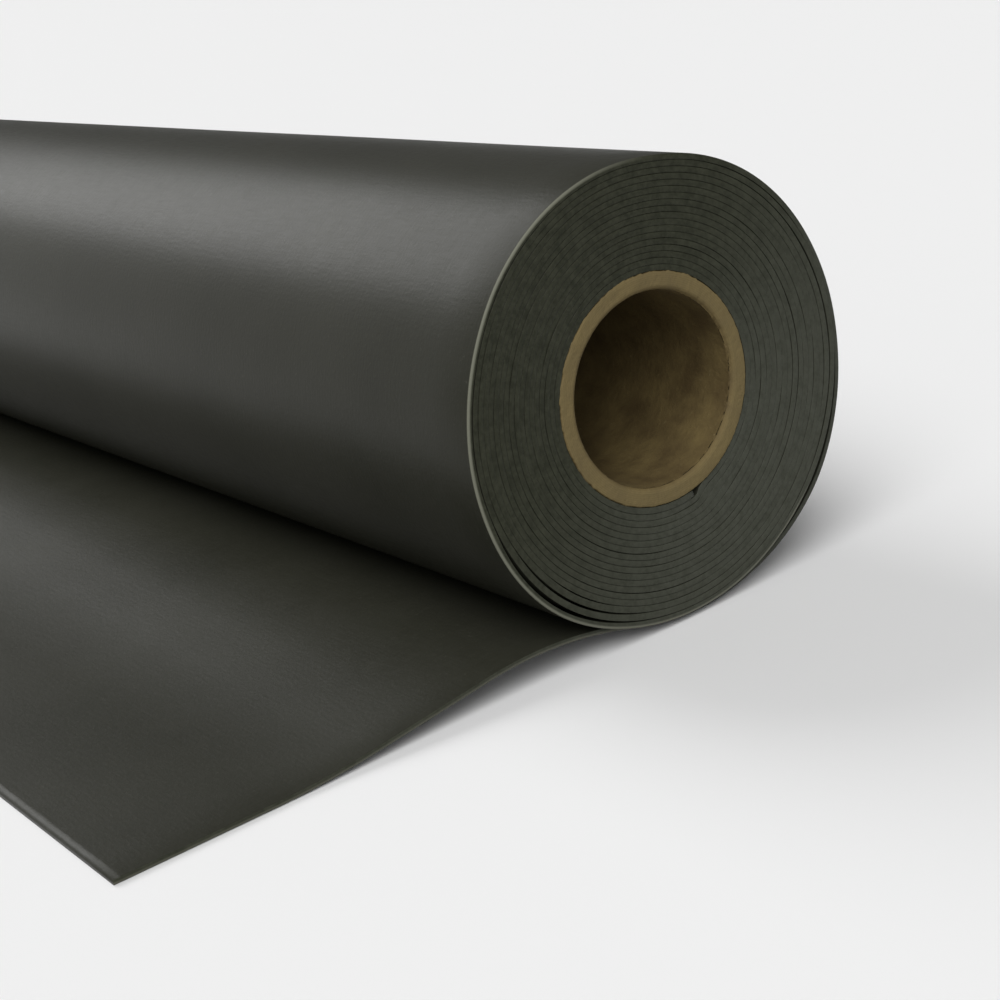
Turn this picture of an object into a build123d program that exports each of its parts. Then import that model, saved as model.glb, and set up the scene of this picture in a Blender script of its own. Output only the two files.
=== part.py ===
from build123d import *
import math
import os

os.makedirs("parts", exist_ok=True)

# A roll of sheet lying on its side, its axis along X, with the loose outer end of
# the sheet run out from under it towards -Y. The floor is at z = 0 and the frame's
# origin is under the middle of the whole outline.

# The stock
sheet_width = 1000.0
sheet_thickness = 2.25
turn_count = 19

# The tube that the sheet is wound on
tube_bore = 76.0
tube_wall = 7.25

# The turns lie tight on the upper left of the tube and sag a little at the lower
# right, so each one adds its thickness above and a bit of air as well below.
# Angles are in the end view from +X, in degrees from +Y towards +Z.
sag_angle = -45.0
sag_air = 0.42

# The inner end of the sheet is a blunt step beside the tube. The next turn climbs
# over it, which leaves a wedge of air along the whole roll.
inner_end_angle = -77.5
inner_end_run = 8.0

# The last full turn stands off the one inside it at the lower left
loose_from = -95.0
loose_to = -163.0
loose_gap = 1.7

# The outer end of the sheet: it stays on the roll for a few degrees past the
# floor, humps, and comes down to lie flat. The crease opens a little past the
# place where it leaves the roll.
climb_angle = 17.0
fall_angle = 7.6
hump_radius = 165.0
foot_radius = 330.0
outer_reach = 252.0
crease_run = 5.0

# The line between one turn and the next, a V groove in both end faces
groove_width = 0.6
groove_depth = 1.0

# The shape of the winding. Each half turn is a half circle, and the circles'
# centres lie on the line through the tube's axis along which the turns sag.
tube_r = tube_bore / 2 + tube_wall
sag_pitch = sheet_thickness + sag_air
sag_turn = math.radians(sag_angle)


def sag_side_r(turns):
    """How far out the sheet is on the sagging side after so many turns."""
    return tube_r + turns * sag_pitch


def tight_side_r(turns):
    """How far out the sheet is on the tight side half a turn later."""
    return tube_r + (turns + 0.5) * sheet_thickness


def on_sag_line(distance):
    return (distance * math.cos(sag_turn), distance * math.sin(sag_turn))


def left_half(turns):
    """Centre and radius of the half circle from the sagging side to the tight side."""
    low, high = sag_side_r(turns), tight_side_r(turns)
    return on_sag_line((low - high) / 2), (low + high) / 2


def right_half(turns):
    """Centre and radius of the half circle back to the sagging side, a turn up."""
    low, high = sag_side_r(turns + 1), tight_side_r(turns)
    return on_sag_line((low - high) / 2), (low + high) / 2


def on_circle(centre, radius, degrees):
    turn = math.radians(degrees)
    return (centre[0] + radius * math.cos(turn), centre[1] + radius * math.sin(turn))


# The outermost half circle touches the floor, under its own centre
outer_centre, outer_r = left_half(turn_count)
floor_z = outer_centre[1] - outer_r
side_centre, side_r = right_half(turn_count - 1)
axis_y = (outer_reach - side_centre[0] - side_r) / 2
axis_z = -floor_z

# The sheet's outer end, seen from the end of the roll. Its underside follows the
# roll, then the hump's circle, a straight fall and the foot's circle to the floor.
climb = math.radians(climb_angle)
fall = math.radians(fall_angle)
hump_centre = on_circle(outer_centre, outer_r + hump_radius, -90 - climb_angle)
fall_start = on_circle(hump_centre, hump_radius, 90 + fall_angle)
fall_drop = fall_start[1] - floor_z - foot_radius * (1 - math.cos(fall))
foot_y = fall_start[0] - fall_drop / math.tan(fall) - foot_radius * math.sin(fall)
foot_centre = (foot_y, floor_z + foot_radius)
crease_angle = climb_angle - math.degrees(crease_run / hump_radius)


def loose_wall(share):
    """A point of the turn that the loose one stands off, share 0 to 1 along the gap."""
    centre, radius = left_half(turn_count - 2)
    gap = loose_gap * math.sin(math.pi * share) ** 2
    return on_circle(centre, radius - gap, loose_from + (loose_to - loose_from) * share)


def half_turns(first, last):
    """The half circles of the line between turns, as (circle, from angle, to angle)."""
    arcs = []
    for turns in range(first, last + 1):
        arcs.append((left_half(turns), sag_angle, sag_angle - 180))
        arcs.append((right_half(turns), sag_angle - 180, sag_angle - 360))
    return arcs


def line_rings(end_plane, depth):
    """The line between the turns as half rings of a V section, sunk into an end face."""
    rings = []
    for (centre, radius), begin, end in line_arcs:
        middle = end_plane.from_local_coords((*centre, 0))
        outward = end_plane.from_local_coords((*on_circle(centre, 1, begin), 0)) - middle
        across = Plane(origin=middle, x_dir=outward, z_dir=outward.cross(end_plane.z_dir))
        with BuildSketch(across) as groove_section:
            Polygon(
                (radius - groove_width / 2, 0),
                (radius + groove_width / 2, 0),
                (radius, depth),
                align=None,
            )
        turning = Axis(middle, end_plane.z_dir)
        rings.append(revolve(groove_section.sketch, turning, end - begin, mode=Mode.PRIVATE))
    return rings


# The tube
with BuildPart() as core_tube:
    with BuildSketch(Plane.YZ.offset(-sheet_width / 2)):
        with Locations((axis_y, axis_z)):
            Circle(tube_r)
            Circle(tube_bore / 2, mode=Mode.SUBTRACT)
    extrude(amount=sheet_width)


# The end view of the whole sheet, drawn about the tube's axis
with BuildSketch() as sheet_section:
    # The wound turns, up to where the sheet touches the floor and leaves
    under_centre, under_r = left_half(turn_count - 1)
    with BuildLine():
        CenterArc(side_centre, side_r, sag_angle, 180)
        CenterArc(under_centre, under_r, sag_angle + 180, 90 - sag_angle)
        Line(on_circle(under_centre, under_r, -90), (outer_centre[0], floor_z))
        CenterArc(outer_centre, outer_r, -90, sag_angle + 90)
    make_face()

    # The outer end, from inside the roll to its cut edge
    upper_foot_r = foot_radius - sheet_thickness
    upper_hump_r = hump_radius + sheet_thickness
    inside_roll = (outer_centre[0], floor_z + 5 * sheet_thickness)
    with BuildLine():
        Line(inside_roll, (outer_centre[0], floor_z))
        CenterArc(outer_centre, outer_r, -90, -climb_angle)
        CenterArc(hump_centre, hump_radius, 90 - climb_angle, climb_angle + fall_angle)
        Line(fall_start, on_circle(foot_centre, foot_radius, -90 + fall_angle))
        CenterArc(foot_centre, foot_radius, -90 + fall_angle, -fall_angle)
        Polyline(
            (foot_y, floor_z),
            (-outer_reach, floor_z),
            (-outer_reach, floor_z + sheet_thickness),
            (foot_y, floor_z + sheet_thickness),
        )
        CenterArc(foot_centre, upper_foot_r, -90, fall_angle)
        Line(
            on_circle(foot_centre, upper_foot_r, -90 + fall_angle),
            on_circle(hump_centre, upper_hump_r, 90 + fall_angle),
        )
        CenterArc(hump_centre, upper_hump_r, 90 + fall_angle, -fall_angle - crease_angle)
        Line(on_circle(hump_centre, upper_hump_r, 90 - crease_angle), inside_roll)
    make_face()

    Circle(tube_r, mode=Mode.SUBTRACT)

    # The air beside the sheet's inner end
    first_line, first_line_r = left_half(1)
    wedge_tip = inner_end_angle + math.degrees(inner_end_run / tube_r)
    with BuildLine():
        Polyline(
            on_circle((0, 0), tube_r - 1, inner_end_angle),
            on_circle(first_line, first_line_r, inner_end_angle),
            on_circle((0, 0), tube_r, wedge_tip),
            on_circle((0, 0), tube_r - 1, wedge_tip),
            close=True,
        )
    make_face(mode=Mode.SUBTRACT)

    # The air inside the loose turn
    loose_line, loose_line_r = left_half(turn_count - 2)
    with BuildLine():
        Spline([loose_wall(0.1 + 0.8 * share / 8) for share in range(9)])
        loose_mid = on_circle(loose_line, loose_line_r, (loose_from + loose_to) / 2)
        ThreePointArc(loose_wall(0.9), loose_mid, loose_wall(0.1))
    make_face(mode=Mode.SUBTRACT)


# The line between the turns. It starts at the sheet's inner end, breaks off at the
# air inside the loose turn, and runs on to where the sheet leaves the roll.
line_arcs = [
    (left_half(1), inner_end_angle - 2, sag_angle - 180),
    (right_half(1), sag_angle - 180, sag_angle - 360),
    *half_turns(2, turn_count - 3),
    (left_half(turn_count - 2), sag_angle, loose_from + 2),
    (left_half(turn_count - 2), loose_to - 3, sag_angle - 180),
    (right_half(turn_count - 2), sag_angle - 180, sag_angle - 360),
    (left_half(turn_count - 1), sag_angle, -90 - climb_angle),
]
near_end = Plane(origin=(sheet_width / 2, axis_y, axis_z), x_dir=(0, 1, 0), z_dir=(1, 0, 0))
far_end = near_end.offset(-sheet_width)
with BuildPart() as turn_line:
    for ring in line_rings(near_end, -groove_depth) + line_rings(far_end, groove_depth):
        add(ring)


# The sheet, with its turns showing on both ends
with BuildPart() as felt_sheet:
    with BuildSketch(far_end):
        add(sheet_section.sketch)
    extrude(amount=sheet_width)
    add(turn_line.part, mode=Mode.SUBTRACT)


core_tube.part.label = "core_tube"
felt_sheet.part.label = "felt_sheet"
export_step(core_tube.part, "parts/core_tube.step")
export_step(felt_sheet.part, "parts/felt_sheet.step")
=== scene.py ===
import math

import bmesh
import bpy
from mathutils import Matrix, Vector, noise


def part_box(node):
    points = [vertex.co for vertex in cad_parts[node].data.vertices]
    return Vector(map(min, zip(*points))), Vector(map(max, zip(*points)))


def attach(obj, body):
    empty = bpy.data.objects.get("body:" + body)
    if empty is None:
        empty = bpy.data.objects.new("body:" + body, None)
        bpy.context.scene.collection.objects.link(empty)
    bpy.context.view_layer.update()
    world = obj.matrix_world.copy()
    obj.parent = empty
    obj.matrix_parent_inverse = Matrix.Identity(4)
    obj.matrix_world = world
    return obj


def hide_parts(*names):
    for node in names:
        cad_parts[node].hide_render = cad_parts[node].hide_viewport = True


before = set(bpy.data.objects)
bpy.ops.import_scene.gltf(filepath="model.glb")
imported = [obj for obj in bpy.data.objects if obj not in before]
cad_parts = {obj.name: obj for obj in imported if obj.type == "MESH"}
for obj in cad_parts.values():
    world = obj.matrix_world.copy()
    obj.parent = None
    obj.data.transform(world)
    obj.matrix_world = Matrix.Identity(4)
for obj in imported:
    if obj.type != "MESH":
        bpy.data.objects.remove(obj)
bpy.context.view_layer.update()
print("frame loaded")

mm = 0.001
tubeLow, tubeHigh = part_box("core_tube")
axisY = (tubeLow.y + tubeHigh.y) / 2
axisZ = (tubeLow.z + tubeHigh.z) / 2
endX = tubeHigh.x / mm
tubeR = (tubeHigh.z - tubeLow.z) / 2 / mm

# the camera, at the photograph's viewing angle
cameraSet = {
    "lens": 71.9,
    "place": (1.0796, -0.3622, 0.3120),
    "right": (0.5729, 0.8004, -0.1766),
    "back": (0.8017, -0.5022, 0.3242),
}

camData = bpy.data.cameras.new("camera")
camData.lens = cameraSet["lens"]
camData.sensor_width = 36
cam = bpy.data.objects.new("camera", camData)
back = Vector(cameraSet["back"]).normalized()
up = back.cross(Vector(cameraSet["right"])).normalized()
facing = Matrix((up.cross(back), up, back)).transposed().to_4x4()
cam.matrix_world = Matrix.Translation(cameraSet["place"]) @ facing
bpy.context.scene.collection.objects.link(cam)
bpy.context.scene.camera = cam


# shape helpers
def smooth(value):
    value = min(max(value, 0.0), 1.0)
    return value * value * (3 - 2 * value)


def hill(value, middle, width):
    return math.exp(-(((value - middle) / width) ** 2))


def angleBetween(a, b):
    return (a - b + 180) % 360 - 180


def polar(radius, degrees):
    turn = math.radians(degrees)
    return Vector((radius * math.cos(turn), radius * math.sin(turn)))


def makeObject(name, verts, faces, smoothFaces=True):
    mesh = bpy.data.meshes.new(name)
    mesh.from_pydata(verts, [], faces)
    work = bmesh.new()
    work.from_mesh(mesh)
    bmesh.ops.recalc_face_normals(work, faces=work.faces)
    work.to_mesh(mesh)
    work.free()
    mesh.polygons.foreach_set("use_smooth", [smoothFaces] * len(mesh.polygons))
    obj = bpy.data.objects.new(name, mesh)
    bpy.context.scene.collection.objects.link(obj)
    return obj


def pointMask(obj, name, values):
    layer = obj.data.attributes.new(name, "FLOAT", "POINT")
    layer.data.foreach_set("value", values)


# the sheet: lengths in mm, places as a count of turns from the sagging side outwards,
# angles in degrees seen from the near end, from +Y towards +Z
sheet = {
    "width": 999.5,
    "thickness": 2.18,      # of the free outer end
    "fullThickness": 2.74,  # the most that a turn swells to fill its room
    "pressed": 0.2,         # the most that it is pressed thinner
    "looseThickness": 2.3,  # where it stands free, with this much room or more to spare
    "looseOver": 1.2,
    "leaveOver": 0.1,       # share of a turn in which it takes the free end's thickness
    "pitch": 2.25,          # from one turn to the next where the roll is tight
    "turns": 18,
    "sagAngle": -45,        # the side that the turns sag to
    "sagAir": 0.42,         # air that each turn gains there
    "innerEnd": -77.5,      # where the sheet's inner end lies on the tube
    "leaveAngle": 17,       # past the floor, where the outer end leaves the roll
    "humpRadius": 165,
    "fallAngle": 7.6,
    "footRadius": 330,
    "reach": 252,
    "corner": 0.14,
    "outerCorner": 0.7,     # the outermost turn's edge is rubbed round
    "wornBefore": 0.02,     # shares of a turn: where that starts, and how fast it grows
    "wornOver": 0.03,
    "stepsPerTurn": 140,
    "outerSteps": 170,
    "columns": 44,          # along the roll, on the outermost turn and the outer end
    "edgeRows": 6,          # rows of points round each edge
    "floorGap": 0.05,
}
# how far the near edge stands back from the end of the roll
edge = {
    "back": 0.25,
    # waves of it along the sheet: size, rate a turn, start
    "wander": [(0.11, 7.3, 0.0), (0.09, 16.9, 2.0), (0.05, 41.0, 0.0), (0.04, 97.0, 1.0)],
    "outerBack": 4.3,       # the outer end has slid along the roll this much
    "slideFrom": 17.72,     # where that starts, and over what share of a turn
    "slideOver": 0.46,
}
# soft dents and bulges of the whole roll, at their full size on its outside
bulgeGrowth = 1.3
rollBulges = [
    {"angle": 160, "width": 30, "amount": -1.7},
    {"angle": 80, "width": 14, "amount": -0.8},
    {"angle": 45, "width": 16, "amount": 0.4},
    {"angle": 15, "width": 40, "amount": 1.2},
]
# places where single turns stand off the one inside them
looseTurns = [
    {"middle": 15.230, "width": 0.050, "amount": 0.60},
    {"middle": 16.235, "width": 0.065, "amount": 1.55},
    {"middle": 17.245, "width": 0.075, "amount": 3.0},
    {"middle": 17.980, "width": 0.075, "amount": 3.2},
]
# lines between turns: the usual gap, its unevenness, and the few that gape and look dark
lines = {"gap": 0.05, "uneven": 0.04, "slowRate": 4.1, "quickRate": 9.7}
darkLines = [
    {"middle": 17.42, "width": 0.12, "gap": 0.30},
    {"middle": 17.80, "width": 0.09, "gap": 0.22},
    {"middle": 16.84, "width": 0.11, "gap": 0.42},
    {"middle": 10.86, "width": 0.10, "gap": 0.28},
    {"middle": 7.20, "width": 0.08, "gap": 0.20},
    {"middle": 13.15, "width": 0.12, "gap": 0.22},
]
# the first turns hug the tube, then climb over the sheet's inner end; they swell to fill
# the gaps that the climb leaves
firstTurns = {
    "snug": 2.42,           # outer face of the turn on the tube, from the tube
    "start": 0.2,           # shares of a turn: settling down, and the first climb
    "climb": 0.030,
    "climbGrows": 0.014,    # what each turn's climb is longer by
    "swell": 0.75,
    "swellTurns": 5,
}
# slow unevenness of the outermost turn and the outer end, with rates a mm, and the shares
# of a turn after which it starts and over which it grows
wave = {
    "most": 0.28,
    "acrossRate": 0.005,
    "alongRate": 0.011,
    "seed": 3.1,
    "after": 0.05,
    "over": 0.1,
}
# painted light on the cut edges, standing in for light thrown up from the floor: the side where it is
# palest, how far it spreads, and how strong it gets at most
paintedBounce = {"towards": -50, "spread": 0.5, "most": 0.8}
# painted highlight on the outermost turn's rounded corner: where it fades out, and how much of it the
# outer end has
rimHighlight = {"fadeFrom": 17.55, "fadeOver": 0.12, "outerEnd": 0.55, "endOver": 0.03}
# points along the run-out end; its turn count creeps on a little, so its edge wanders too
runOutSteps = {"hump": 40, "fall": 10, "foot": 16, "flat": 18, "turns": 0.001}

sagPitch = sheet["pitch"] + sheet["sagAir"]
firstTurn = (sheet["sagAngle"] - sheet["innerEnd"]) / 360
leaveTurn = sheet["turns"] + (90 + sheet["leaveAngle"] + sheet["sagAngle"]) / 360
outermostFrom = sheet["turns"] - 1


# centre's shift along the sag line and radius of the half circle with these two sides
def halfCircle(sagSide, tightSide):
    return (sagSide - tightSide) / 2, (sagSide + tightSide) / 2


# radius about the tube's axis of the line between turns
def windingRadius(turns):
    whole = math.floor(turns)
    part = turns - whole
    sagSide = tubeR + (whole + (part >= 0.5)) * sagPitch
    shift, radius = halfCircle(sagSide, tubeR + (whole + 0.5) * sheet["pitch"])
    turn = math.tau * part
    return shift * math.cos(turn) + math.sqrt(radius ** 2 - (shift * math.sin(turn)) ** 2)


# how much the first turns lie closer to the tube than the even winding
def hugDepth(turns):
    layer = max(1, math.ceil(turns - firstTurn))
    past = turns - firstTurn - layer
    climb = firstTurns["climb"] + firstTurns["climbGrows"] * (layer - 1)
    depth = windingRadius(firstTurn + 2 + past) - tubeR - firstTurns["snug"]
    hug = smooth((past + 1) / firstTurns["start"]) * (1 - smooth((past + climb) / climb))
    return depth * hug * max(0, 1 - (layer - 1) / outermostFrom)


# radius of the sheet's outer face after so many turns
def outerRadius(turns):
    radius = windingRadius(turns + 1) - hugDepth(turns)
    angle = sheet["sagAngle"] - 360 * turns
    share = (turns / sheet["turns"]) ** bulgeGrowth
    for bulge in rollBulges:
        off = angleBetween(angle, bulge["angle"])
        radius += bulge["amount"] * hill(off, 0, bulge["width"]) * share
    for bulge in looseTurns:
        radius += bulge["amount"] * hill(turns, bulge["middle"], bulge["width"])
    return radius


# the air between a turn and the one inside it
def lineGap(turns):
    unevenness = 1 + math.sin(turns * lines["slowRate"] + 1) * math.sin(turns * lines["quickRate"])
    gap = lines["gap"] + lines["uneven"] * unevenness
    for line in darkLines:
        gap += line["gap"] * hill(turns, line["middle"], line["width"])
    return gap


# the sheet fills the room that a turn has, pressed thinner where the roll is tight
def thicknessAt(turns):
    if turns >= leaveTurn:
        return sheet["thickness"]
    inside = outerRadius(turns - 1) if turns >= firstTurn + 1 else tubeR
    room = outerRadius(turns) - inside - lineGap(turns)
    full = sheet["fullThickness"] + firstTurns["swell"] * hill(turns, 1, firstTurns["swellTurns"])
    free = smooth((room - full) / sheet["looseOver"])
    filled = max(min(room, full), sheet["thickness"] - sheet["pressed"])
    wound = filled + (sheet["looseThickness"] - filled) * free
    leaving = smooth((turns - leaveTurn + sheet["leaveOver"]) / sheet["leaveOver"])
    return wound + (sheet["thickness"] - wound) * leaving


# how far the near edge stands back at one place
def edgeBack(turns):
    wander = sum(size * math.sin(turns * rate + start) for size, rate, start in edge["wander"])
    slide = smooth((turns - edge["slideFrom"]) / edge["slideOver"])
    return edge["back"] + wander + (edge["outerBack"] - edge["back"]) * slide


# the outer end's underside, about the tube's axis, from the roll to its cut edge
def runOut():
    leave, fall = sheet["leaveAngle"], sheet["fallAngle"]
    hump, foot = sheet["humpRadius"], sheet["footRadius"]
    sagSide = tubeR + (sheet["turns"] + 1) * sagPitch
    shift, radius = halfCircle(sagSide, tubeR + (sheet["turns"] + 1.5) * sheet["pitch"])
    centre = polar(shift, sheet["sagAngle"])
    floorZ = centre.y - radius
    count = runOutSteps["hump"]
    humpCentre = centre + polar(radius + hump, -90 - leave)
    turned = leave + fall
    points = [humpCentre + polar(hump, 90 - leave + turned * i / count) for i in range(1, count + 1)]
    slope = math.radians(fall)
    fallStart = points[-1]
    drop = fallStart.y - floorZ - foot * (1 - math.cos(slope))
    fallEnd = fallStart + Vector((-drop / math.tan(slope), -drop))
    count = runOutSteps["fall"]
    points += [fallStart.lerp(fallEnd, i / count) for i in range(1, count + 1)]
    count = runOutSteps["foot"]
    footCentre = Vector((fallEnd.x - foot * math.sin(slope), floorZ + foot))
    points += [footCentre + polar(foot, -90 + fall * (1 - i / count)) for i in range(1, count + 1)]
    count = runOutSteps["flat"]
    flatStart = points[-1]
    cutEdge = Vector((-sheet["reach"], floorZ))
    return points + [flatStart.lerp(cutEdge, i / count) for i in range(1, count + 1)]


# the sheet's middle line in the end view, as lists of places, turn counts, thicknesses,
# directions square to it (out of the roll, down from the outer end) and lengths along it
def middleLine():
    places, turnCounts = [], []
    turns = firstTurn
    while turns < leaveTurn:
        radius = outerRadius(turns) - thicknessAt(turns) / 2
        places.append(polar(radius, sheet["sagAngle"] - 360 * turns))
        turnCounts.append(turns)
        turns += 1 / sheet["outerSteps" if turns >= outermostFrom else "stepsPerTurn"]
    onRoll = len(places)
    places += runOut()
    creep = runOutSteps["turns"]
    turnCounts += [leaveTurn + creep * i for i in range(len(places) - onRoll)]
    thicknesses = [thicknessAt(turns) for turns in turnCounts]
    last = len(places) - 1
    outward = []
    for i in range(last + 1):
        run = (places[min(i + 1, last)] - places[max(i - 1, 0)]).normalized()
        outward.append(Vector((-run.y, run.x)))
    # the outer end is known by its underside, so its middle lies half a thickness up
    for i in range(onRoll, last + 1):
        places[i] = places[i] - outward[i] * thicknesses[i] / 2
    along = [0.0]
    for before, after in zip(places, places[1:]):
        along.append(along[-1] + (after - before).length)
    return places, turnCounts, thicknesses, outward, along


def surfaceWave(x, length, turns):
    rise = smooth((turns - outermostFrom - wave["after"]) / wave["over"])
    spot = Vector((x * wave["acrossRate"], length * wave["alongRate"], wave["seed"]))
    return wave["most"] * rise * noise.noise(spot)


# painted highlight on the outermost turn's rounded corner: most on the left, a little along the outer
# end
def rimHighlightAt(turns):
    fade = smooth((turns - rimHighlight["fadeFrom"]) / rimHighlight["fadeOver"])
    atEnd = smooth((turns - leaveTurn + rimHighlight["endOver"]) / rimHighlight["endOver"])
    return 1 - fade * (1 - rimHighlight["outerEnd"] * atEnd)


# the sheet's cross-section at one place, as (x, height off the middle line, painted highlight mask,
# cut mask): along the outer face, round the near edge, back along the inner face and round the
# far edge
def crossSection(turns, thickness, columns):
    half, corner = thickness / 2, sheet["corner"]
    cornerCut = 0.3 * corner
    loose = smooth((turns - outermostFrom + sheet["wornBefore"]) / sheet["wornOver"])
    worn = corner + (sheet["outerCorner"] - corner) * loose
    near = endX - edgeBack(turns)
    far = near - sheet["width"]
    shares = [k / columns for k in range(columns + 1)]
    rounding = [polar(worn, degrees) for degrees in (60, 30)]
    # the rounded outer corner gets a pale colour: a painted highlight, strongest where the turn is
    # outermost
    paintedHighlight = loose * rimHighlightAt(turns)
    rows = [(far + worn + (near - far - 2 * worn) * share, half, 0, 0) for share in shares]
    rows += [(near - worn + p.x, half - worn + p.y, paintedHighlight, 0.5) for p in rounding]
    rows += [(near, half - worn, paintedHighlight, 1), (near, half - 2 * worn, 0, 1)]
    rows += [(near, corner - half, 0, 1), (near - cornerCut, cornerCut - half, 0, 1)]
    rows += [(near - corner - (near - far - 2 * corner) * share, -half, 0, 0) for share in shares]
    rows += [(far + cornerCut, cornerCut - half, 0, 1), (far, corner - half, 0, 1)]
    rows += [(far, half - 2 * worn, 0, 1), (far, half - worn, paintedHighlight, 1)]
    rows += [(far + worn - p.x, half - worn + p.y, paintedHighlight, 0.5) for p in rounding[::-1]]
    return rows


# painted light on the cut edges, standing in for light thrown up from the floor: palest on the sagging
# side near the floor
def paintedBounceAt(turns):
    side = math.cos(math.radians(sheet["sagAngle"] - 360 * turns - paintedBounce["towards"]))
    return paintedBounce["most"] * smooth((side + paintedBounce["spread"]) / (1 + paintedBounce["spread"]))


# faces between two neighbouring cross-sections, which may differ in columns
def joinSections(first, second):
    edgeRows = sheet["edgeRows"]
    (a, columnsA), (b, columnsB) = first, second
    sizeA, sizeB = 2 * (columnsA + 1 + edgeRows), 2 * (columnsB + 1 + edgeRows)
    faces = []
    for side in (0, 1):
        p = side * sizeA // 2
        q = side * sizeB // 2
        if columnsA == columnsB:
            faces += [(a + p + k, b + p + k, b + p + k + 1, a + p + k + 1) for k in range(columnsA)]
        else:
            faces.append([a + p] + [b + q + k for k in range(columnsB + 1)] + [a + p + 1])
        for k in range(edgeRows + 1):
            u, v = p + columnsA + k, q + columnsB + k
            faces.append((a + u, b + v, b + (v + 1) % sizeB, a + (u + 1) % sizeA))
    return faces


# faces that close a cross-section, as strips from its outer face to its inner one
def closeSection(start, columns):
    edgeRows = sheet["edgeRows"]
    half = columns + 1 + edgeRows
    faces = []
    for k in range(columns):
        inner = start + half + columns - k
        faces.append((start + k, start + k + 1, inner - 1, inner))
    faces.append([start + columns + k for k in range(edgeRows + 2)])
    faces.append([start + (half + columns + k) % (2 * half) for k in range(edgeRows + 2)])
    return faces


def buildSheet():
    places, turnCounts, thicknesses, outward, along = middleLine()
    print("sheet line", len(places), "places,", round(along[-1]), "mm long")
    verts, rimHighlights, cuts, paintedBounces, spots, sections = [], [], [], [], [], []
    for place, turns, thickness, out, length in zip(places, turnCounts, thicknesses, outward, along):
        columns = 1 if turns < outermostFrom else sheet["columns"]
        sections.append((len(verts), columns))
        for x, off, paintedHighlight, cut in crossSection(turns, thickness, columns):
            yz = place + out * (off + surfaceWave(x, length, turns))
            height = max(yz.y * mm + axisZ, sheet["floorGap"] * mm)
            verts.append((x * mm, yz.x * mm + axisY, height))
            rimHighlights.append(paintedHighlight)
            cuts.append(cut)
            paintedBounces.append(cut * paintedBounceAt(turns))
            spots.append(((x - off) * mm, length * mm))
    faces = []
    for first, second in zip(sections, sections[1:]):
        faces += joinSections(first, second)
    for start, columns in (sections[0], sections[-1]):
        faces += closeSection(start, columns)
    obj = makeObject("felt_winding", verts, faces)
    # mask of the painted highlight on the outermost turn's rounded corner
    pointMask(obj, "rimHighlight", rimHighlights)
    pointMask(obj, "cut", cuts)
    # mask of the painted floor light on the cut edges
    pointMask(obj, "paintedBounce", paintedBounces)
    uv = obj.data.uv_layers.new(name="sheet")
    for loop in obj.data.loops:
        uv.data[loop.index].uv = spots[loop.vertex_index]
    return obj


felt = buildSheet()
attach(felt, "root")
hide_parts("felt_sheet")
print("sheet built,", len(felt.data.polygons), "faces")

# the cardboard tube, in mm
tube = {
    "bore": 38.0,
    "segments": 360,
    "columns": 24,
    "innerCorner": 1.9,
    "outerCorner": 0.7,
    "farCorner": 0.8,
    "endRun": 8,            # the last stretch of the bore, which has its own rows
    "fray": 0.95,           # tufts of paper on the outer corner
    "frayTowards": 140,     # the side where they are longest
    "frayLeast": 0.25,      # their share on the other side
    "frayFrom": -0.4,       # cosine from that side where they start to grow
    "frayOver": 1.1,
    "sunkMost": 0.25,       # how far the corner sinks between tufts
    "coarseShare": 0.7,     # of coarse tufts to fine ones
    "tear": 0.75,           # the torn inner ply
    "tearTowards": 22,
    "tearWidth": 34,
    "ragRate": 14,          # its ragged flecks, round the tube and along it
    "ragAlong": 0.5,
    "ragShift": 0.2,
    "ripple": 0.08,         # unevenness of the rest of the inner ply
    "dish": 0.16,           # unevenness of the cut ends
    "dishMost": 0.1,
    "dishDeep": 0.3,        # its rate from the bore outwards
}
# rate round the tube and seed of each noise
tubeNoise = {"fine": (26, 4.0), "coarse": (11, 9.0), "dish": (5, 8)}
# the torn ply near the bore's end: (x from the end, share)
tearRows = [(-5, 0.1), (-3.2, 0.3), (-2.2, 0.6), (-1.5, 0.8)]
# the outside near the end: (x from the end, share of the tufts)
tuftRows = [(-1.4, 0.5), (-2.4, 0.1), (-6, 0)]


# outline of the tube's wall as (x from the end, depth from the bore, tuft share, tear share,
# cut mask), from the far end along the bore to the near end and back along the outside
def wallOutline(wall):
    inner, outer, far = tube["innerCorner"], tube["outerCorner"], tube["farCorner"]
    columns = tube["columns"]
    length = 2 * endX
    boreRun = length - far - tube["endRun"]
    rows = [(far - length + boreRun * k / columns, 0, 0, 0, 0) for k in range(columns + 1)]
    rows += [(x, 0, 0, tear, 0) for x, tear in tearRows]
    for degrees in (0, 30, 60, 90):
        p = polar(inner, 180 - degrees)
        rows.append((p.y - inner, inner + p.x, 0, 1 - degrees / 120, degrees / 90))
    rows += [(0, wall * share, 0, 0, 1) for share in (0.3, 0.5, 0.7)]
    for degrees in (90, 60, 30, 0):
        p = polar(outer, degrees)
        rows.append((p.y - outer, wall - outer + p.x, 1, 0, degrees / 90))
    rows += [(x, wall, share, 0, 0) for x, share in tuftRows]
    rows += [(far - length, wall, 0, 0, 0), (-length, wall - far, 0, 0, 1)]
    return rows + [(-length, wall / 2, 0, 0, 1), (-length, far, 0, 0, 1)]


def tubeNoiseAt(name, direction, shift=0.0):
    rate, seed = tubeNoise[name]
    return noise.noise(Vector((direction.x * rate, direction.y * rate, seed + shift)))


# how far the tufts stand out in one direction
def tuftAt(degrees, direction):
    side = math.cos(math.radians(degrees - tube["frayTowards"]))
    toSide = smooth((side - tube["frayFrom"]) / tube["frayOver"])
    share = tube["frayLeast"] + (1 - tube["frayLeast"]) * toSide
    paper = tubeNoiseAt("fine", direction) + tube["coarseShare"] * tubeNoiseAt("coarse", direction)
    return tube["fray"] * share * max(paper, -tube["sunkMost"])


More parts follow.
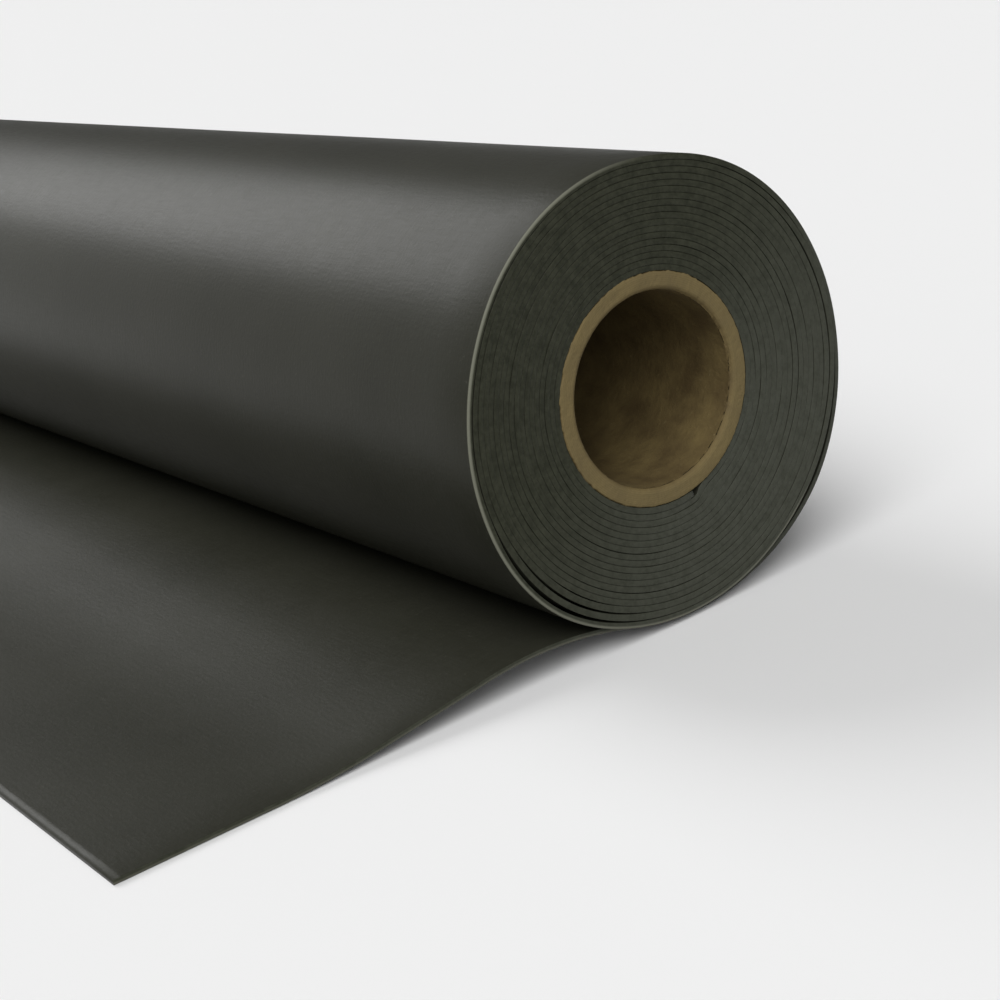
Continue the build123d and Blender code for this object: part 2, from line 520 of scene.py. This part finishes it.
def buildTube():
    wall = tubeR - tube["bore"]
    outline = wallOutline(wall)
    size, segments = len(outline), tube["segments"]
    ragRate, ragAlong = tube["ragRate"], tube["ragAlong"]
    verts, faces, cuts = [], [], []
    for s in range(segments):
        degrees = 360 * s / segments
        direction = polar(1, degrees)
        torn = hill(angleBetween(degrees, tube["tearTowards"]), 0, tube["tearWidth"])
        tuft = tuftAt(degrees, direction)
        for x, depth, tuftShare, tearShare, cut in outline:
            rag = noise.noise(Vector((direction.x * ragRate, direction.y * ragRate, ragAlong * x)))
            tear = tube["tear"] * torn * max(rag + tube["ragShift"], 0) + tube["ripple"] * rag
            dish = tube["dish"] * tubeNoiseAt("dish", direction, tube["dishDeep"] * depth) * cut
            radius = tube["bore"] + depth + tuft * tuftShare + tear * tearShare
            place = direction * radius * mm
            endways = (endX + x + min(dish, tube["dishMost"])) * mm
            verts.append((endways, axisY + place.x, axisZ + place.y))
            cuts.append(cut)
    for s in range(segments):
        n = (s + 1) % segments
        for k in range(size):
            m = (k + 1) % size
            faces.append((s * size + k, n * size + k, n * size + m, s * size + m))
    obj = makeObject("cardboard_tube", verts, faces)
    pointMask(obj, "cut", cuts)
    return obj


core = buildTube()
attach(core, "root")
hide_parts("core_tube")
print("tube built,", len(core.data.polygons), "faces")


# node helpers
def newMaterial(name):
    material = bpy.data.materials.new(name)
    material.use_nodes = True
    tree = material.node_tree
    return material, tree.nodes, tree.links, tree.nodes["Principled BSDF"]


def addNode(nodes, kind, values=None, **settings):
    node = nodes.new(kind)
    for key, value in settings.items():
        setattr(node, key, value)
    for key, value in (values or {}).items():
        node.inputs[key].default_value = value
    return node


def spread(nodes, links, source, low, high, toLow, toHigh):
    ends = {"From Min": low, "From Max": high, "To Min": toLow, "To Max": toHigh}
    node = addNode(nodes, "ShaderNodeMapRange", ends)
    links.new(source, node.inputs["Value"])
    return node.outputs["Result"]


def mathNode(nodes, links, operation, first, second):
    node = addNode(nodes, "ShaderNodeMath", operation=operation)
    for socket, value in zip(node.inputs, (first, second)):
        if isinstance(value, (int, float)):
            socket.default_value = value
        else:
            links.new(value, socket)
    return node.outputs[0]


def mixColour(nodes, links, mask, first, second):
    node = addNode(nodes, "ShaderNodeMix", data_type="RGBA")
    links.new(mask, node.inputs["Factor"])
    for socket, value in ((node.inputs["A"], first), (node.inputs["B"], second)):
        if isinstance(value, tuple):
            socket.default_value = (*value, 1)
        else:
            links.new(value, socket)
    return node.outputs["Result"]


# fine specks and soft patches, for both materials, from a place vector
def makeSpeckGroup():
    group = bpy.data.node_groups.new("specks and patches", "ShaderNodeTree")
    face = group.interface
    face.new_socket("Place", in_out="INPUT", socket_type="NodeSocketVector")
    for name, value in (("Speck Scale", 400.0), ("Patch Scale", 12.0)):
        face.new_socket(name, in_out="INPUT", socket_type="NodeSocketFloat").default_value = value
    for name in ("Specks", "Patches", "Grain"):
        face.new_socket(name, in_out="OUTPUT", socket_type="NodeSocketFloat")
    nodes, links = group.nodes, group.links
    source = addNode(nodes, "NodeGroupInput")
    out = addNode(nodes, "NodeGroupOutput")
    specks = addNode(nodes, "ShaderNodeTexNoise", {"Detail": 2.0, "Roughness": 0.6})
    patches = addNode(nodes, "ShaderNodeTexNoise", {"Detail": 5.0, "Roughness": 0.6})
    for node, scale in ((specks, "Speck Scale"), (patches, "Patch Scale")):
        links.new(source.outputs["Place"], node.inputs["Vector"])
        links.new(source.outputs[scale], node.inputs["Scale"])
    rare = spread(nodes, links, specks.outputs["Fac"], 0.66, 0.78, 0, 1)
    links.new(rare, out.inputs["Specks"])
    links.new(patches.outputs["Fac"], out.inputs["Patches"])
    links.new(specks.outputs["Fac"], out.inputs["Grain"])
    return group


speckGroup = makeSpeckGroup()

feltLook = {
    "colour": (0.0225, 0.0228, 0.0160),
    "pale": (0.0320, 0.0322, 0.0240),
    "cutColour": (0.0425, 0.0450, 0.0285),
    "cutDark": (0.0225, 0.0245, 0.0140),
    # painted light from the floor on the cut edges
    "paintedBounceColour": (0.0700, 0.0735, 0.0580),
    # painted highlight on the outermost turn's rounded corner
    "rimHighlightColour": (0.185, 0.187, 0.145),
    "speckColour": (0.090, 0.090, 0.072),
    "roughness": (0.31, 0.39),
    "specular": 0.12,
    "fibres": (900.0, 80.0, 1.0),       # marks about 1 mm wide and 12 mm long, round the roll
    "crossFibres": (90.0, 700.0, 1.0),
    "blotches": 210.0,
    "speckScale": 620,
    "patchScale": 9,
    "fibreShare": 0.6,
    "speckShare": 0.30,
    "grainBump": 0.10,
    "fibreBump": 0.12,
    "bumpDepth": 0.0006,
}


def makeFelt():
    material, nodes, links, shader = newMaterial("dark smooth felt")
    coords = addNode(nodes, "ShaderNodeTexCoord")
    uv = addNode(nodes, "ShaderNodeUVMap", uv_map="sheet")
    group = addNode(nodes, "ShaderNodeGroup", node_tree=speckGroup)
    group.inputs["Speck Scale"].default_value = feltLook["speckScale"]
    group.inputs["Patch Scale"].default_value = feltLook["patchScale"]
    links.new(coords.outputs["Object"], group.inputs["Place"])
    marks = []
    for name in ("fibres", "crossFibres"):
        stretch = addNode(nodes, "ShaderNodeMapping", {"Scale": feltLook[name]})
        links.new(uv.outputs["UV"], stretch.inputs["Vector"])
        fibres = addNode(nodes, "ShaderNodeTexNoise", {"Scale": 1.0, "Detail": 3.0, "Roughness": 0.55})
        links.new(stretch.outputs["Vector"], fibres.inputs["Vector"])
        marks.append(fibres.outputs["Fac"])
    fibre = mathNode(nodes, links, "MULTIPLY", marks[0], marks[1])
    blotches = addNode(nodes, "ShaderNodeTexNoise", {"Scale": feltLook["blotches"], "Detail": 4.0})
    links.new(coords.outputs["Object"], blotches.inputs["Vector"])
    cut = addNode(nodes, "ShaderNodeAttribute", attribute_name="cut").outputs["Fac"]
    paintedHighlight = addNode(nodes, "ShaderNodeAttribute", attribute_name="rimHighlight").outputs["Fac"]
    paintedBounceMask = addNode(nodes, "ShaderNodeAttribute", attribute_name="paintedBounce").outputs["Fac"]

    patchy = spread(nodes, links, group.outputs["Patches"], 0.35, 0.7, 0, 1)
    mix = mixColour(nodes, links, patchy, feltLook["colour"], feltLook["pale"])
    faint = spread(nodes, links, fibre, 0.16, 0.42, 0, feltLook["fibreShare"])
    mix = mixColour(nodes, links, faint, mix, feltLook["pale"])
    dots = spread(nodes, links, group.outputs["Specks"], 0, 1, 0, feltLook["speckShare"])
    mix = mixColour(nodes, links, dots, mix, feltLook["speckColour"])
    rough = mathNode(nodes, links, "ADD", blotches.outputs["Fac"], group.outputs["Grain"])
    torn = spread(nodes, links, rough, 0.78, 1.22, 0, 1)
    cutMix = mixColour(nodes, links, torn, feltLook["cutDark"], feltLook["cutColour"])
    mix = mixColour(nodes, links, cut, mix, cutMix)
    patches = spread(nodes, links, torn, 0, 1, 0.72, 1.08)
    # painted light from the floor, paling the cut edges on the sagging side
    paintedBouncePatches = mathNode(nodes, links, "MULTIPLY", paintedBounceMask, patches)
    mix = mixColour(nodes, links, paintedBouncePatches, mix, feltLook["paintedBounceColour"])
    # painted highlight on the outermost turn's rounded corner
    mix = mixColour(nodes, links, paintedHighlight, mix, feltLook["rimHighlightColour"])
    links.new(mix, shader.inputs["Base Color"])
    satin = spread(nodes, links, fibre, 0.12, 0.42, *feltLook["roughness"])
    links.new(satin, shader.inputs["Roughness"])
    shader.inputs["Specular IOR Level"].default_value = feltLook["specular"]
    deep = feltLook["bumpDepth"]
    grainBump = addNode(nodes, "ShaderNodeBump", {"Strength": feltLook["grainBump"], "Distance": deep})
    links.new(group.outputs["Grain"], grainBump.inputs["Height"])
    fibreBump = addNode(nodes, "ShaderNodeBump", {"Strength": feltLook["fibreBump"], "Distance": deep})
    links.new(fibre, fibreBump.inputs["Height"])
    links.new(grainBump.outputs["Normal"], fibreBump.inputs["Normal"])
    links.new(fibreBump.outputs["Normal"], shader.inputs["Normal"])
    return material


cardLook = {
    "colour": (0.155, 0.112, 0.042),
    "dark": (0.088, 0.060, 0.023),
    "pale": (0.235, 0.185, 0.085),
    "plyPitch": 0.0008,
    "plyShare": 0.22,
    "cutShare": 0.5,
    "speckShare": 0.4,
    "speckScale": 420,
    "patchScale": 60,
    "roughness": (0.72, 0.9),
    "specular": 0.3,
    "bump": 0.4,
    "bumpDepth": 0.0008,
}


def makeCard():
    material, nodes, links, shader = newMaterial("brown cardboard")
    coords = addNode(nodes, "ShaderNodeTexCoord")
    group = addNode(nodes, "ShaderNodeGroup", node_tree=speckGroup)
    group.inputs["Speck Scale"].default_value = cardLook["speckScale"]
    group.inputs["Patch Scale"].default_value = cardLook["patchScale"]
    links.new(coords.outputs["Object"], group.inputs["Place"])
    cut = addNode(nodes, "ShaderNodeAttribute", attribute_name="cut").outputs["Fac"]
    # rings of the plies, by distance from the tube's axis
    parts = addNode(nodes, "ShaderNodeSeparateXYZ")
    links.new(coords.outputs["Object"], parts.inputs["Vector"])
    offY = mathNode(nodes, links, "SUBTRACT", parts.outputs["Y"], axisY)
    offZ = mathNode(nodes, links, "SUBTRACT", parts.outputs["Z"], axisZ)
    squareY = mathNode(nodes, links, "POWER", offY, 2)
    squareZ = mathNode(nodes, links, "POWER", offZ, 2)
    radius = mathNode(nodes, links, "SQRT", mathNode(nodes, links, "ADD", squareY, squareZ), 0)
    phase = mathNode(nodes, links, "MULTIPLY", radius, math.tau / cardLook["plyPitch"])
    rings = mathNode(nodes, links, "SINE", phase, 0)
    thinRings = spread(nodes, links, rings, 0.2, 1, 0, cardLook["plyShare"])
    plies = mathNode(nodes, links, "MULTIPLY", thinRings, cut)

    patchy = spread(nodes, links, group.outputs["Patches"], 0.35, 0.65, 0, 1)
    mix = mixColour(nodes, links, patchy, cardLook["dark"], cardLook["colour"])
    paler = spread(nodes, links, cut, 0, 1, 0, cardLook["cutShare"])
    mix = mixColour(nodes, links, paler, mix, cardLook["pale"])
    dots = spread(nodes, links, group.outputs["Specks"], 0, 1, 0, cardLook["speckShare"])
    mix = mixColour(nodes, links, dots, mix, cardLook["pale"])
    mix = mixColour(nodes, links, plies, mix, cardLook["dark"])
    links.new(mix, shader.inputs["Base Color"])
    matt = spread(nodes, links, group.outputs["Patches"], 0.3, 0.7, *cardLook["roughness"])
    links.new(matt, shader.inputs["Roughness"])
    shader.inputs["Specular IOR Level"].default_value = cardLook["specular"]
    relief = {"Strength": cardLook["bump"], "Distance": cardLook["bumpDepth"]}
    bump = addNode(nodes, "ShaderNodeBump", relief)
    links.new(group.outputs["Grain"], bump.inputs["Height"])
    links.new(bump.outputs["Normal"], shader.inputs["Normal"])
    return material


felt.data.materials.append(makeFelt())
core.data.materials.append(makeCard())
for node, piece in (("felt_sheet", felt), ("core_tube", core)):
    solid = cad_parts[node]
    solid.data.materials.clear()
    solid.data.materials.append(piece.data.materials[0])
print("materials made")

# floor and light
studio = {
    "floorSize": 200.0,                 # from the middle to each side
    "floorSeen": (0.88, 0.88, 0.88),    # what the camera and reflections see
    "floorBounce": (0.28, 0.28, 0.28),  # what it throws back on the roll
    "floorRoughness": 0.9,
    "floorSpecular": 0.1,
    "world": 0.16,
    # strength, angle across, direction towards the light
    "lamps": {
        "key light": (1.9, 46, (0.46, -0.45, 0.85)),
        "front light": (0.8, 36, (0.85, -0.42, 0.40)),
        "side light": (0.28, 44, (-0.86, -0.42, 0.31)),
        "far light": (1.15, 38, (-0.780, -0.110, 0.616)),
    },
}
size = studio["floorSize"]
floorCorners = [(-size, -size, 0), (size, -size, 0), (size, size, 0), (-size, size, 0)]
floorPlane = makeObject("floor", floorCorners, [(0, 1, 2, 3)], False)
material, nodes, links, shader = newMaterial("pale floor")
path = addNode(nodes, "ShaderNodeLightPath").outputs
seen = mathNode(nodes, links, "MAXIMUM", path["Is Camera Ray"], path["Is Glossy Ray"])
seen = mathNode(nodes, links, "MAXIMUM", seen, path["Is Transmission Ray"])
shown = mixColour(nodes, links, seen, studio["floorBounce"], studio["floorSeen"])
links.new(shown, shader.inputs["Base Color"])
shader.inputs["Roughness"].default_value = studio["floorRoughness"]
shader.inputs["Specular IOR Level"].default_value = studio["floorSpecular"]
floorPlane.data.materials.append(material)

for name, (strength, across, towards) in studio["lamps"].items():
    lamp = bpy.data.lights.new(name, "SUN")
    lamp.energy = strength
    lamp.angle = math.radians(across)
    obj = bpy.data.objects.new(name, lamp)
    obj.rotation_euler = Vector(towards).to_track_quat("Z", "Y").to_euler()
    bpy.context.scene.collection.objects.link(obj)

world = bpy.data.worlds.new("studio")
bpy.context.scene.world = world
world.use_nodes = True
background = world.node_tree.nodes["Background"]
background.inputs["Color"].default_value = (1, 1, 1, 1)
background.inputs["Strength"].default_value = studio["world"]
bpy.context.scene.view_settings.view_transform = "Standard"
print("floor and light made")
